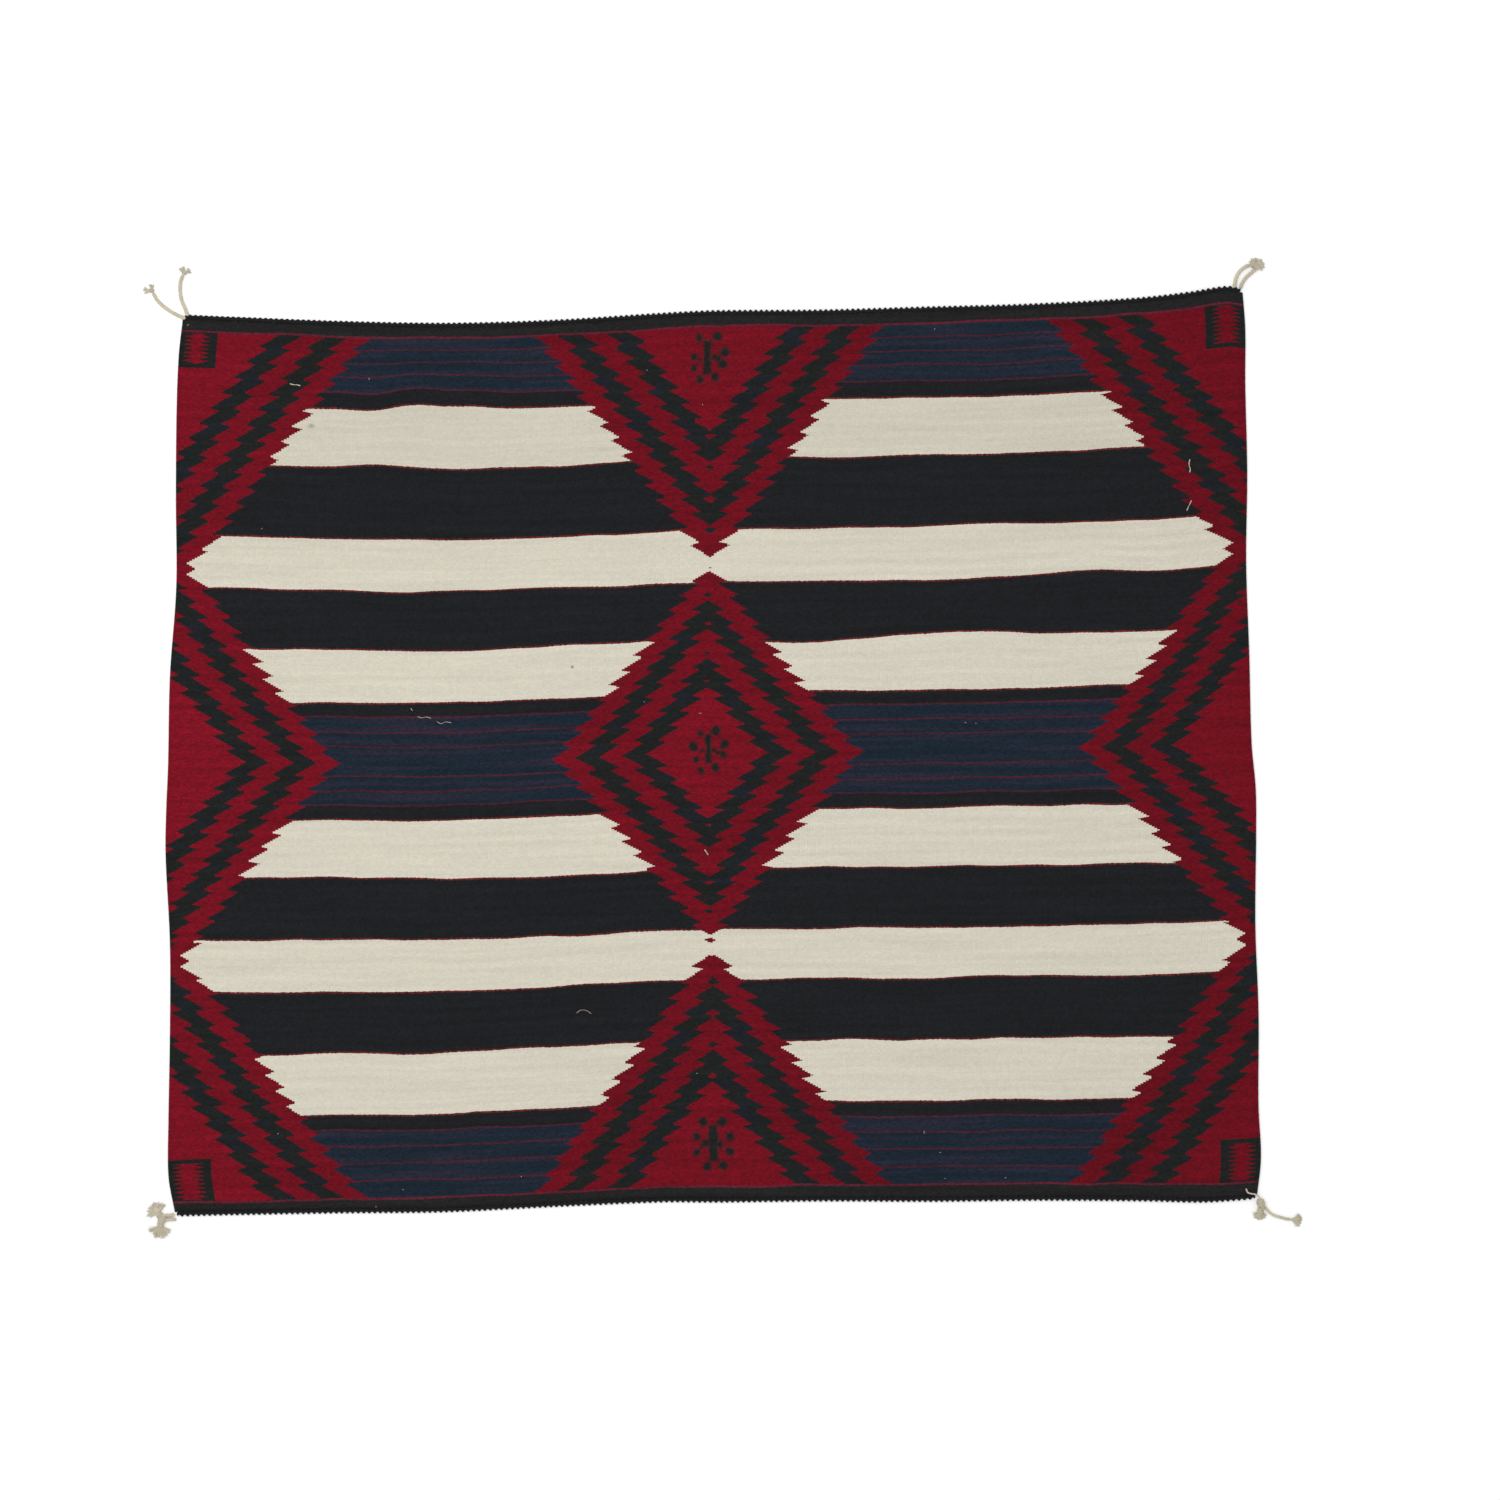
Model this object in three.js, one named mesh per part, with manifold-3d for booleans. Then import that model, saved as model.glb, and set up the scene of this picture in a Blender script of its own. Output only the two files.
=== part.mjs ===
// A wool floor rug in tapestry weave, lying flat with its four corner ties spread on the floor.
// Millimetres, +Z up, +X along the width, +Y towards the top end. The tables measure from the middle
// of the cloth, and the finished group is shifted so that the origin is the bottom centre of the box
// round the cloth, its end cords and the two knots tied at its bottom corners.

import * as THREE from 'three';
import { mergeVertices } from 'three/addons/utils/BufferGeometryUtils.js';
import Module from 'manifold-3d';

const wasm = await Module();
wasm.setup();

// The woven cloth
const clothThickness = 3;
const clothEdgeHeight = 1.6;          // the rounded edge of each woven side
const clothColumnPitch = 40;          // spacing of the cloth's columns between its ribbed sides
const clothRows = 22;
const ribPitch = 4.4;                 // the doubled warps beside each woven side
const ribHeights = [3.7, 3.5, 3.3];   // crest of each rib, the outermost first
const ribGroove = 2.9;

// The twined cord along each end, one scallop for each pair of warps
const endScallops = 196;
const endCordWidth = { groove: 3.9, crest: 5.6 };
const endCordHeight = { groove: 3.3, crest: 4.3 };
const endCordLean = 2.4;              // how far a scallop slants along the cord from inside to outside
const endCordStop = 1.6;              // from the side of the cloth to the end of the cord

// The undyed ties at the corners, laid up from three plies
const plies = 3;
const plyGroove = 0.78;               // radius of the groove between two plies, as a share
const twistPitch = 18;                // length of one full turn of the plies
const cordSides = 9;
const touch = 0.36;                   // clearance between neighbouring pieces

// Middle of the cloth, seen from the origin
const clothMiddle = { x: 9.15, y: 14.42 };

// How far the two woven sides stand from the middle line, by share of the length from the bottom end
const sides = [
  { along: 0.0, left: -721.0, right: 729.0 },
  { along: 0.04, left: -729.5, right: 734.0 },
  { along: 0.1, left: -729.5, right: 730.7 },
  { along: 0.2, left: -727.5, right: 730.8 },
  { along: 0.3, left: -727.5, right: 726.5 },
  { along: 0.4, left: -733.3, right: 727.6 },
  { along: 0.45, left: -732.5, right: 727.0 },
  { along: 0.5, left: -730.0, right: 721.5 },
  { along: 0.6, left: -727.5, right: 718.3 },
  { along: 0.7, left: -719.0, right: 714.2 },
  { along: 0.8, left: -719.5, right: 715.6 },
  { along: 0.9, left: -718.5, right: 713.0 },
  { along: 0.96, left: -715.6, right: 713.0 },
  { along: 1.0, left: -706.0, right: 706.0 },
];

// How far the two ends stand from the middle line, by share of the width from the left side
const ends = [
  { across: 0.0, bottom: -621.0, top: 585.0 },
  { across: 0.05, bottom: -619.5, top: 583.0 },
  { across: 0.15, bottom: -617.0, top: 578.0 },
  { across: 0.25, bottom: -615.5, top: 575.5 },
  { across: 0.35, bottom: -608.5, top: 579.5 },
  { across: 0.45, bottom: -602.3, top: 588.5 },
  { across: 0.5, bottom: -602.5, top: 592.0 },
  { across: 0.6, bottom: -601.0, top: 593.0 },
  { across: 0.7, bottom: -601.5, top: 597.0 },
  { across: 0.8, bottom: -600.0, top: 601.0 },
  { across: 0.9, bottom: -601.0, top: 609.0 },
  { across: 0.95, bottom: -602.5, top: 617.0 },
  { across: 1.0, bottom: -597.0, top: 622.4 },
];

// The free ties: each leaves its corner along the floor by these points
const ties = [
  {
    name: 'tie_top_left_a', radius: 2.4,
    route: [[-703.1, 584.1], [-707.2, 595.0], [-711.6, 605.3], [-713.4, 614.8], [-713.8, 623.0],
      [-713.1, 631.3], [-709.9, 639.4]],
  },
  {
    name: 'tie_top_left_b', radius: 2.4,
    route: [[-706.1, 580.8], [-717.0, 585.6], [-726.8, 590.9], [-736.3, 597.8], [-744.6, 606.0],
      [-750.0, 615.5]],
  },
  {
    name: 'tie_top_right_a', radius: 2.4,
    route: [[698.3, 622.0], [699.1, 630.4], [701.5, 638.3], [705.6, 644.8], [711.5, 649.8], [717.8, 653.1]],
  },
  {
    name: 'tie_top_right_b', radius: 2.4,
    route: [[706.1, 621.4], [708.9, 628.7], [713.5, 635.7], [720.3, 641.9], [726.7, 646.8]],
  },
  {
    name: 'tie_bottom_right', radius: 2.0,
    route: [[739.6, -608.9], [745.2, -615.8], [752.0, -620.0], [761.1, -622.8], [768.0, -624.6],
      [774.0, -625.0]],
  },
];

// Frayed ends and knots. A lump is one bulge of a knot: its middle, length, width, height and turn.
// A brush is a fan of loose yarns: its root, the bearings of its first and last yarn, and their reach.
// A strand is a short end of cord or yarn, by the points of its middle line.
const knots = [
  {
    name: 'tuft_top_left_a',
    lumps: [{ x: -708.3, y: 642.8, length: 7.0, width: 6.4, height: 5.0, turn: 68 }],
    brushes: [
      { x: -709.2, y: 644.0, from: 84, to: 136, yarns: 3, reach: 7.0 },
      { x: -706.8, y: 643.6, from: 2, to: 38, yarns: 2, reach: 7.6 },
    ],
  },
  {
    name: 'tuft_top_left_b',
    lumps: [{ x: -751.9, y: 619.0, length: 7.0, width: 6.4, height: 5.0, turn: 121 }],
    brushes: [
      { x: -753.8, y: 618.6, from: 162, to: 200, yarns: 3, reach: 10.0 },
      { x: -752.0, y: 620.4, from: 74, to: 104, yarns: 2, reach: 7.4 },
    ],
  },
  {
    name: 'knot_top_right',
    lumps: [
      { x: 722.6, y: 654.4, length: 9.0, width: 7.0, height: 6.4, turn: 30 },
      { x: 728.6, y: 651.8, length: 9.0, width: 8.0, height: 7.0, turn: 60 },
    ],
    brushes: [
      { x: 723.6, y: 655.2, from: 84, to: 150, yarns: 4, reach: 8.4 },
      { x: 728.8, y: 653.2, from: -28, to: 78, yarns: 7, reach: 11.0 },
    ],
  },
  {
    name: 'knot_bottom_left',
    lumps: [
      { x: -739.4, y: -623.6, length: 11.6, width: 9.4, height: 8.6, turn: 70 },
      { x: -741.4, y: -619.4, length: 7.4, width: 8.0, height: 7.0, turn: 130 },
      { x: -740.6, y: -631.8, length: 11.0, width: 7.2, height: 6.0, turn: 95 },
    ],
    brushes: [
      { x: -742.8, y: -617.8, from: 58, to: 198, yarns: 9, reach: 15.0 },
      { x: -741.2, y: -635.2, from: 204, to: 326, yarns: 8, reach: 16.6 },
    ],
    strands: [
      {
        radius: 2.3,
        route: [[-721.3, -618.5, 2.3], [-727.6, -619.9, 2.4], [-733.0, -619.9, 3.2], [-738.0, -621.4, 3.6]],
      },
      {
        radius: 2.3,
        route: [[-721.6, -623.4, 2.3], [-727.2, -625.3, 2.4], [-733.0, -625.8, 3.2], [-738.0, -624.4, 3.6]],
      },
    ],
  },
  {
    name: 'knot_bottom_right',
    lumps: [
      { x: 732.6, y: -603.0, length: 13.0, width: 9.6, height: 8.4, turn: 100 },
      { x: 735.8, y: -607.4, length: 7.0, width: 6.2, height: 6.4, turn: 60 },
      { x: 732.6, y: -614.6, length: 11.0, width: 7.6, height: 6.6, turn: 90 },
    ],
    brushes: [{ x: 732.6, y: -616.4, from: 206, to: 322, yarns: 7, reach: 8.4 }],
    strands: [{
      radius: 1.1,
      route: [[732.2, -600.0, 6.0], [730.6, -594.4, 6.2], [726.4, -591.4, 6.0], [720.4, -590.4, 5.4],
        [715.6, -588.6, 5.0], [713.4, -583.0, 4.7]],
    }],
  },
  {
    name: 'tuft_bottom_right',
    lumps: [{ x: 777.6, y: -625.6, length: 6.6, width: 5.6, height: 4.6, turn: -6 }],
    brushes: [{ x: 778.4, y: -626.0, from: -56, to: 44, yarns: 7, reach: 10.6 }],
  },
];
const strandSides = 6;
const brushHeight = 3.8;
const brushProfile = [
  { out: 0, up: 0 }, { out: 1, up: 0 }, { out: 1, up: 0.36 }, { out: 0.5, up: 0.6 }, { out: 0, up: 1 },
];
const brushHead = 2.6;                // radius of a brush's bound root, behind its yarns
const yarnTip = 1.5;                  // width of a yarn at its tip
const yarnGap = 0.5;                  // reach of the gap between two yarns, as a share of theirs

const finishes = {
  cloth: { color: 0x7a1424, roughness: 0.95, metalness: 0 },
  endCord: { color: 0x1f1f21, roughness: 0.92, metalness: 0 },
  tie: { color: 0xcfc9b4, roughness: 0.9, metalness: 0 },
};

// Smooth value of one column of a table at a place between its rows.
function readTable(table, place, column, at) {
  const last = table.length - 1;
  const low = THREE.MathUtils.clamp(table.findLastIndex((row) => row[place] <= at), 0, last - 1);
  const [before, start, stop, after] = [low - 1, low, low + 1, low + 2]
    .map((row) => table[THREE.MathUtils.clamp(row, 0, last)]);
  const span = stop[place] - start[place];
  const t = (at - start[place]) / span;
  const leaving = (stop[column] - before[column]) / (stop[place] - before[place]) * span;
  const arriving = (after[column] - start[column]) / (after[place] - start[place]) * span;
  return start[column] * (1 + 2 * t) * (1 - t) ** 2 + leaving * t * (1 - t) ** 2
    + stop[column] * t * t * (3 - 2 * t) - arriving * t * t * (1 - t);
}

// Shares of the width at the cloth's columns: close together on the ribs, even in between.
function columnShares() {
  const width = sides[0].right - sides[0].left;
  const ribs = ribHeights.flatMap((_, rib) => [(rib + 0.5) * ribPitch, (rib + 1) * ribPitch]);
  const edge = [0, ...ribs].map((distance) => distance / width);
  const inner = 1 - 2 * edge.at(-1);
  const count = Math.round(inner * width / clothColumnPitch);
  const middle = Array.from({ length: count - 1 }, (_, step) => edge.at(-1) + inner * (step + 1) / count);
  return [...edge, ...middle, ...edge.toReversed().map((share) => 1 - share)];
}

const shares = columnShares();

// Height of the cloth's top at one of its columns.
function columnHeight(column) {
  const fromEdge = Math.min(column, shares.length - 1 - column);
  if (fromEdge === 0) return clothEdgeHeight;
  if (fromEdge >= 2 * ribHeights.length) return clothThickness;
  return fromEdge % 2 ? ribHeights[(fromEdge - 1) / 2] : ribGroove;
}

// Where the inner side of an end cord runs, straight from one cloth column to the next.
function endLine(end, across) {
  const inward = (end === 'top' ? -1 : 1) * endCordWidth.crest;
  const low = THREE.MathUtils.clamp(shares.findLastIndex((share) => share <= across), 0, shares.length - 2);
  const t = (across - shares[low]) / (shares[low + 1] - shares[low]);
  const [start, stop] = [low, low + 1].map((column) => readTable(ends, 'across', end, shares[column]));
  return THREE.MathUtils.lerp(start, stop, t) + inward;
}

// A point of the cloth's plane from its share of the width and length.
function onCloth(across, along) {
  const bottom = endLine('bottom', across) + touch;
  const top = endLine('top', across) - touch;
  const left = readTable(sides, 'along', 'left', along);
  const right = readTable(sides, 'along', 'right', along);
  return { x: THREE.MathUtils.lerp(left, right, across), y: THREE.MathUtils.lerp(bottom, top, along) };
}

// Moves every point of a geometry to the place that a function gives for it.
function reshape(geometry, place) {
  const position = geometry.attributes.position;
  for (let i = 0; i < position.count; i++) {
    const { x, y, z } = place(position.getX(i), position.getY(i), position.getZ(i));
    position.setXYZ(i, x, y, z);
  }
  geometry.computeVertexNormals();
  return geometry;
}

function wovenCloth() {
  const columns = shares.length - 1;
  return reshape(new THREE.BoxGeometry(1, 1, 1, columns, clothRows, 1), (x, y, z) => {
    const column = Math.round((x + 0.5) * columns);
    const row = Math.round((y + 0.5) * clothRows);
    return { ...onCloth(shares[column], row / clothRows), z: z > 0 ? columnHeight(column) : 0 };
  });
}

// A scalloped cord along one end: its section swells at each crest and slants along the cord.
function endCord(end) {
  const rings = 2 * endScallops;
  const outward = end === 'top' ? 1 : -1;
  const along = end === 'top' ? 1 : 0;
  const left = readTable(sides, 'along', 'left', along) + endCordStop;
  const right = readTable(sides, 'along', 'right', along) - endCordStop;
  return reshape(new THREE.BoxGeometry(1, 1, 1, rings, 1, 1), (x, y, z) => {
    const ring = Math.round((x + 0.5) * rings);
    const swell = ring % 2 ? 'crest' : 'groove';
    const width = endCordWidth[swell];
    const height = endCordHeight[swell];
    const outer = y > 0;
    const step = outward > 0 ? ring : rings - ring;
    const travel = (right - left) * step / rings;
    const across = (endCordStop + travel) / (right - left + 2 * endCordStop);
    const lean = (outer ? 0.5 : -0.5) * endCordLean * outward;
    const reach = outer ? width * (z > 0 ? 1 : 0.8) : width * (z > 0 ? 0.4 : 0);
    return {
      x: left + travel + lean,
      y: endLine(end, across) + outward * reach,
      z: z > 0 ? height * (outer ? 0.5 : 1) : 0,
    };
  });
}

// Section of a laid cord: a ring of points that dips between the plies.
function plySection(radius) {
  const points = Array.from({ length: cordSides }, (_, side) => {
    const bearing = side / cordSides * 2 * Math.PI;
    const reach = side % (cordSides / plies) ? radius : radius * plyGroove;
    return new THREE.Vector2(reach * Math.cos(bearing), reach * Math.sin(bearing));
  });
  return new THREE.Shape(points);
}

// A cord that is extruded straight, twisted by its plies and laid on the floor along its route.
function laidCord({ route, radius }) {
  const path = new THREE.CatmullRomCurve3(route.map(([x, y]) => new THREE.Vector3(x, y, radius)));
  const length = path.getLength();
  const steps = Math.round(length / (twistPitch / cordSides));
  const rope = new THREE.ExtrudeGeometry(plySection(radius), { depth: length, steps, bevelEnabled: false });
  return reshape(rope, (x, y, z) => {
    const share = THREE.MathUtils.clamp(z / length, 0, 1);
    const turn = z / twistPitch * 2 * Math.PI;
    const sideways = x * Math.cos(turn) - y * Math.sin(turn);
    const upwards = x * Math.sin(turn) + y * Math.cos(turn);
    const heading = path.getTangentAt(share);
    const middle = path.getPointAt(share);
    return { x: middle.x - heading.y * sideways, y: middle.y + heading.x * sideways, z: middle.z + upwards };
  });
}

// One bulge of a knot: an ellipsoid that lies on the floor with a flat underside.
function lump({ x, y, length, width, height, turn }) {
  const bearing = THREE.MathUtils.degToRad(turn);
  const ball = new THREE.SphereGeometry(1, 10, 6).rotateX(Math.PI / 2);
  return reshape(ball, (across, aside, up) => {
    const forward = across * length / 2;
    const sideways = aside * width / 2;
    return {
      x: x + forward * Math.cos(bearing) - sideways * Math.sin(bearing),
      y: y + forward * Math.sin(bearing) + sideways * Math.cos(bearing),
      z: Math.max(0, height * (0.42 + 0.58 * up)),
    };
  });
}

// The spokes of a brush, all round its root: a pair for each yarn's tip, one for each gap and a few behind.
function brushSpokes({ from, to, yarns, reach }) {
  const behind = 4;
  const pitch = (to - from) / (yarns - 1);
  const tip = THREE.MathUtils.radToDeg(yarnTip / 2 / reach);
  const spokes = [];
  for (let yarn = 0; yarn < yarns; yarn++) {
    const length = reach * (0.9 + 0.1 * Math.cos(2.4 * yarn));
    const bearing = from + yarn * pitch;
    if (yarn > 0) spokes.push({ bearing: bearing - pitch / 2, length: reach * yarnGap });
    spokes.push({ bearing: bearing - tip, length }, { bearing: bearing + tip, length });
  }
  for (let back = 1; back <= behind; back++) {
    spokes.push({ bearing: to + back * (360 - to + from) / (behind + 1), length: brushHead });
  }
  return spokes;
}

// A brush of loose yarns: a low boss on the floor whose rim runs out along the yarns.
function yarnBrush(row) {
  const spokes = brushSpokes(row);
  const profile = brushProfile.map(({ out, up }) => new THREE.Vector2(out, up));
  return reshape(new THREE.LatheGeometry(profile, spokes.length), (aside, up, ahead) => {
    const turn = Math.round(Math.atan2(aside, ahead) / (2 * Math.PI) * spokes.length);
    const { bearing, length } = spokes[(turn + spokes.length) % spokes.length];
    const out = Math.hypot(aside, ahead) * length;
    const heading = THREE.MathUtils.degToRad(bearing);
    return { x: row.x + out * Math.cos(heading), y: row.y + out * Math.sin(heading), z: up * brushHeight };
  });
}

// A closed solid made from a geometry, for joining.
function solid(geometry) {
  const bare = geometry.clone();
  bare.deleteAttribute('normal');
  bare.deleteAttribute('uv');
  const merged = mergeVertices(bare, 1e-4);
  const corners = [];
  for (let i = 0; i < merged.index.count; i += 3) {
    const [a, b, c] = [0, 1, 2].map((corner) => merged.index.getX(i + corner));
    if (a !== b && b !== c && c !== a) corners.push(a, b, c);
  }
  return new wasm.Manifold(new wasm.Mesh({
    numProp: 3,
    vertProperties: merged.attributes.position.array,
    triVerts: Uint32Array.from(corners),
  }));
}

// A short end of cord or yarn with a round section.
function strand({ radius, route }) {
  const path = new THREE.CatmullRomCurve3(route.map((point) => new THREE.Vector3(...point)));
  const section = new THREE.Shape().absarc(0, 0, radius, 0, 2 * Math.PI);
  const steps = 2 * (route.length - 1);
  return new THREE.ExtrudeGeometry(section, {
    curveSegments: strandSides, steps, extrudePath: path, bevelEnabled: false,
  });
}

// A knot or a frayed end: its lumps, brushes and strands joined into one body.
function knot({ lumps, brushes, strands = [] }) {
  const pieces = [...lumps.map(lump), ...brushes.map(yarnBrush), ...strands.map(strand)];
  const { vertProperties, triVerts } = wasm.Manifold.union(pieces.map(solid)).getMesh();
  const geometry = new THREE.BufferGeometry();
  geometry.setAttribute('position', new THREE.BufferAttribute(vertProperties, 3));
  geometry.setIndex(new THREE.BufferAttribute(triVerts, 1));
  geometry.computeVertexNormals();
  return geometry;
}

function piece(name, geometry, finish) {
  const mesh = new THREE.Mesh(geometry, new THREE.MeshStandardMaterial(finish));
  mesh.name = name;
  return mesh;
}

const rug = new THREE.Group();
rug.add(piece('woven_cloth', wovenCloth(), finishes.cloth));
rug.add(piece('end_cord_top', endCord('top'), finishes.endCord));
rug.add(piece('end_cord_bottom', endCord('bottom'), finishes.endCord));
for (const tie of ties) rug.add(piece(tie.name, laidCord(tie), finishes.tie));
for (const row of knots) rug.add(piece(row.name, knot(row), finishes.tie));
rug.position.set(clothMiddle.x, clothMiddle.y, 0);

export default rug;
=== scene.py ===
import bisect
import math
import random

import bmesh
import bpy
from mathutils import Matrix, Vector


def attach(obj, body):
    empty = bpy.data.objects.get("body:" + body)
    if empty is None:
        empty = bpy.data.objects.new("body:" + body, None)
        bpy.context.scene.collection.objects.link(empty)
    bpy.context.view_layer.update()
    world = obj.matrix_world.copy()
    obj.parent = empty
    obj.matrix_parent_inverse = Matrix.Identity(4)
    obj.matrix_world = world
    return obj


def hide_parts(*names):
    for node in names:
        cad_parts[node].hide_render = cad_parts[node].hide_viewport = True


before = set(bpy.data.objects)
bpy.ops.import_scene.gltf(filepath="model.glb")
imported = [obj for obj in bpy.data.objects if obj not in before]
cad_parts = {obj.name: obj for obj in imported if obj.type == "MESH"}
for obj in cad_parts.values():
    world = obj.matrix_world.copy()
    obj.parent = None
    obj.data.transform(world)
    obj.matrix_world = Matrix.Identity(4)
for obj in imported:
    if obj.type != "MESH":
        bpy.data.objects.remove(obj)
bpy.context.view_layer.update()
mm = 0.001
clothMiddle = Vector((9.15, 14.42, 0.0)) * mm    # middle of the cloth; the tables below measure from it


# Camera: straight overhead, up is +Y
cameraView = {"middle": (58.7, 17.8), "height": 4.2, "frameWidth": 2.01, "sensor": 36.0}

camera = bpy.data.objects.new("overheadCamera", bpy.data.cameras.new("overheadCamera"))
bpy.context.scene.collection.objects.link(camera)
camera.location = (cameraView["middle"][0] * mm, cameraView["middle"][1] * mm, cameraView["height"])
camera.data.sensor_width = cameraView["sensor"]
camera.data.lens = cameraView["sensor"] * cameraView["height"] / cameraView["frameWidth"]
bpy.context.scene.camera = camera
bpy.context.scene.view_settings.view_transform = "Standard"
print("camera set")


# Helpers for meshes

def finishPiece(bm, name, smooth=True):
    mesh = bpy.data.meshes.new(name)
    bm.to_mesh(mesh)
    bm.free()
    mesh.polygons.foreach_set("use_smooth", [smooth] * len(mesh.polygons))
    piece = bpy.data.objects.new(name, mesh)
    bpy.context.scene.collection.objects.link(piece)
    return piece


def smoothRoute(points, count):
    # evenly spaced points on one smooth curve through the given ones
    spots = [Vector((*point, 0.0)) if len(point) == 2 else Vector(point) for point in points]
    spots = [spots[0] * 2 - spots[1], *spots, spots[-1] * 2 - spots[-2]]
    fine = []
    for i in range(1, len(spots) - 2):
        for step in range(24):
            t = step / 24
            a, b, c, d = spots[i - 1:i + 3]
            fine.append(0.5 * (2 * b + (c - a) * t + (2 * a - 5 * b + 4 * c - d) * t ** 2
                               + (3 * b - a - 3 * c + d) * t ** 3))
    fine.append(spots[-2])
    reach = [0.0]
    for before, after in zip(fine, fine[1:]):
        reach.append(reach[-1] + (after - before).length)
    route = []
    for step in range(count + 1):
        at = reach[-1] * step / count
        i = min(bisect.bisect_right(reach, at) - 1, len(fine) - 2)
        route.append(fine[i].lerp(fine[i + 1], (at - reach[i]) / (reach[i + 1] - reach[i])))
    return route


def routeLength(route):
    return sum((after - before).length for before, after in zip(route, route[1:]))


def layTube(bm, route, sides, section, upright=True):
    # a closed tube of one ring for each route point; section(share along, angle) gives (aside, up)
    uv = bm.loops.layers.uv.verify()
    last = len(route) - 1
    grid = bmesh.ops.create_grid(bm, x_segments=last, y_segments=sides, size=0.5)["verts"]
    length = routeLength(route)
    for face in {face for vert in grid for face in vert.link_faces}:
        for loop in face.loops:
            loop[uv].uv = ((loop.vert.co.x + 0.5) * length, loop.vert.co.y + 0.5)
    for vert in grid:
        ring = round((vert.co.x + 0.5) * last)
        around = (vert.co.y + 0.5) * 2 * math.pi
        heading = (route[min(ring + 1, last)] - route[max(ring - 1, 0)]).normalized()
        side = Vector((-heading.y, heading.x, 0.0))
        side = side.normalized() if side.length > 1e-4 else Vector((1.0, 0.0, 0.0))
        up = Vector((0.0, 0.0, 1.0)) if upright else heading.cross(side).normalized() * -1
        if not upright and up.dot(Vector((0.0, 0.0, 1.0))) < 0:
            up = -up
        aside, above = section(ring / last, around)
        vert.co = route[ring] + side * aside + up * above
    bmesh.ops.remove_doubles(bm, verts=grid, dist=1e-7)


def roundEnds(share, rings):
    # swells from nothing to full over the first and last ring, so that a tube closes in a rounded end
    fromEnd = min(share, 1 - share) * rings
    return 0.0 if fromEnd < 0.5 else 0.86 if fromEnd < 1.5 else 1.0


def closeAndTurnOut(bm):
    bmesh.ops.remove_doubles(bm, verts=bm.verts[:], dist=1e-7)
    bmesh.ops.recalc_face_normals(bm, faces=bm.faces[:])


# The four corners' ties: three plies laid up into a cord, by the points of their route on the floor

tieShape = {"plies": 3, "pitch": 18.0, "groove": 0.66, "sides": 24, "ringStep": 0.9}
ties = [
    {"name": "cornerTieTopLeftA", "node": "tie_top_left_a", "radius": 2.4, "end": "tuft_top_left_a",
     "route": [(-703.1, 584.1), (-707.2, 595.0), (-711.6, 605.3), (-713.4, 614.8), (-713.8, 623.0),
               (-713.1, 631.3), (-709.9, 639.4)]},
    {"name": "cornerTieTopLeftB", "node": "tie_top_left_b", "radius": 2.4, "end": "tuft_top_left_b",
     "route": [(-706.1, 580.8), (-717.0, 585.6), (-726.8, 590.9), (-736.3, 597.8), (-744.6, 606.0),
               (-750.0, 615.5)]},
    {"name": "cornerTieTopRightA", "node": "tie_top_right_a", "radius": 2.4, "end": "knot_top_right",
     "route": [(698.3, 622.0), (699.1, 630.4), (701.5, 638.3), (705.6, 644.8), (711.5, 649.8),
               (717.8, 653.1)]},
    {"name": "cornerTieTopRightB", "node": "tie_top_right_b", "radius": 2.4, "end": "knot_top_right",
     "route": [(706.1, 621.4), (708.9, 628.7), (713.5, 635.7), (720.3, 641.9), (726.7, 646.8)]},
    {"name": "cornerTieBottomRight", "node": "tie_bottom_right", "radius": 2.0, "end": "tuft_bottom_right",
     "route": [(739.6, -608.9), (745.2, -615.8), (752.0, -620.0), (761.1, -622.8), (768.0, -624.6),
               (774.0, -625.0)]},
]


def plySection(radius, route, shape):
    # section of a laid cord: its plies bulge and turn along the route
    turns = routeLength(route) / (shape["pitch"] * mm)
    rings = len(route) - 1

    def section(share, around):
        lobe = abs(math.cos((around - 2 * math.pi * turns * share) * shape["plies"] / 2))
        reach = radius * (shape["groove"] + (1 - shape["groove"]) * lobe ** 0.6) * roundEnds(share, rings)
        return reach * math.cos(around), reach * math.sin(around)
    return section


def tableRoute(points, height, ringStep):
    raised = [(point[0], point[1], point[2] if len(point) > 2 else height) for point in points]
    rough = smoothRoute(raised, 40)
    count = max(6, round(routeLength(rough) / ringStep))
    return [point * mm + clothMiddle for point in smoothRoute(raised, count)]


tiePieces = {}
for tie in ties:
    bm = bmesh.new()
    route = tableRoute(tie["route"], tie["radius"], tieShape["ringStep"])
    layTube(bm, route, tieShape["sides"], plySection(tie["radius"] * mm, route, tieShape))
    closeAndTurnOut(bm)
    tiePieces[tie["name"]] = (finishPiece(bm, tie["name"]), route)
print("ties laid:", len(tiePieces))


# Knots and frayed ends. A lump is one bulge of a knot: middle, length, width, height and turn.
# A brush is a fan of loose yarns: root, bearings of its first and last yarn, yarns and reach.

knotShape = {"wrapRadius": 1.05, "yarnRadius": 0.8, "tipRadius": 0.36, "hairRadius": 0.1, "strandsEach": 3,
             "hairsEach": 3, "sides": 7}
lumpShape = {"base": 0.42, "coreLength": 0.96, "coreInset": 0.7, "wrapInset": 0.75, "wrapSpacing": 2.6,
             "wrapEnd": 0.72, "stepsPerTurn": 16, "startAngle": 0.6}
brushShape = {"hairSpread": 14, "stray": 5, "shortest": 0.78, "longest": 1.02, "hairLength": 1.06,
              "bend": 0.5, "thinnest": 0.8, "thickest": 1.1, "hairTip": 0.6, "points": 6, "bendFrom": 0.25,
              "fall": 1.5, "lowLift": 1.2, "highLift": 2.2, "clearance": 0.15, "rings": 12, "taper": 1.4,
              "hairSides": 4}
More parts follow.
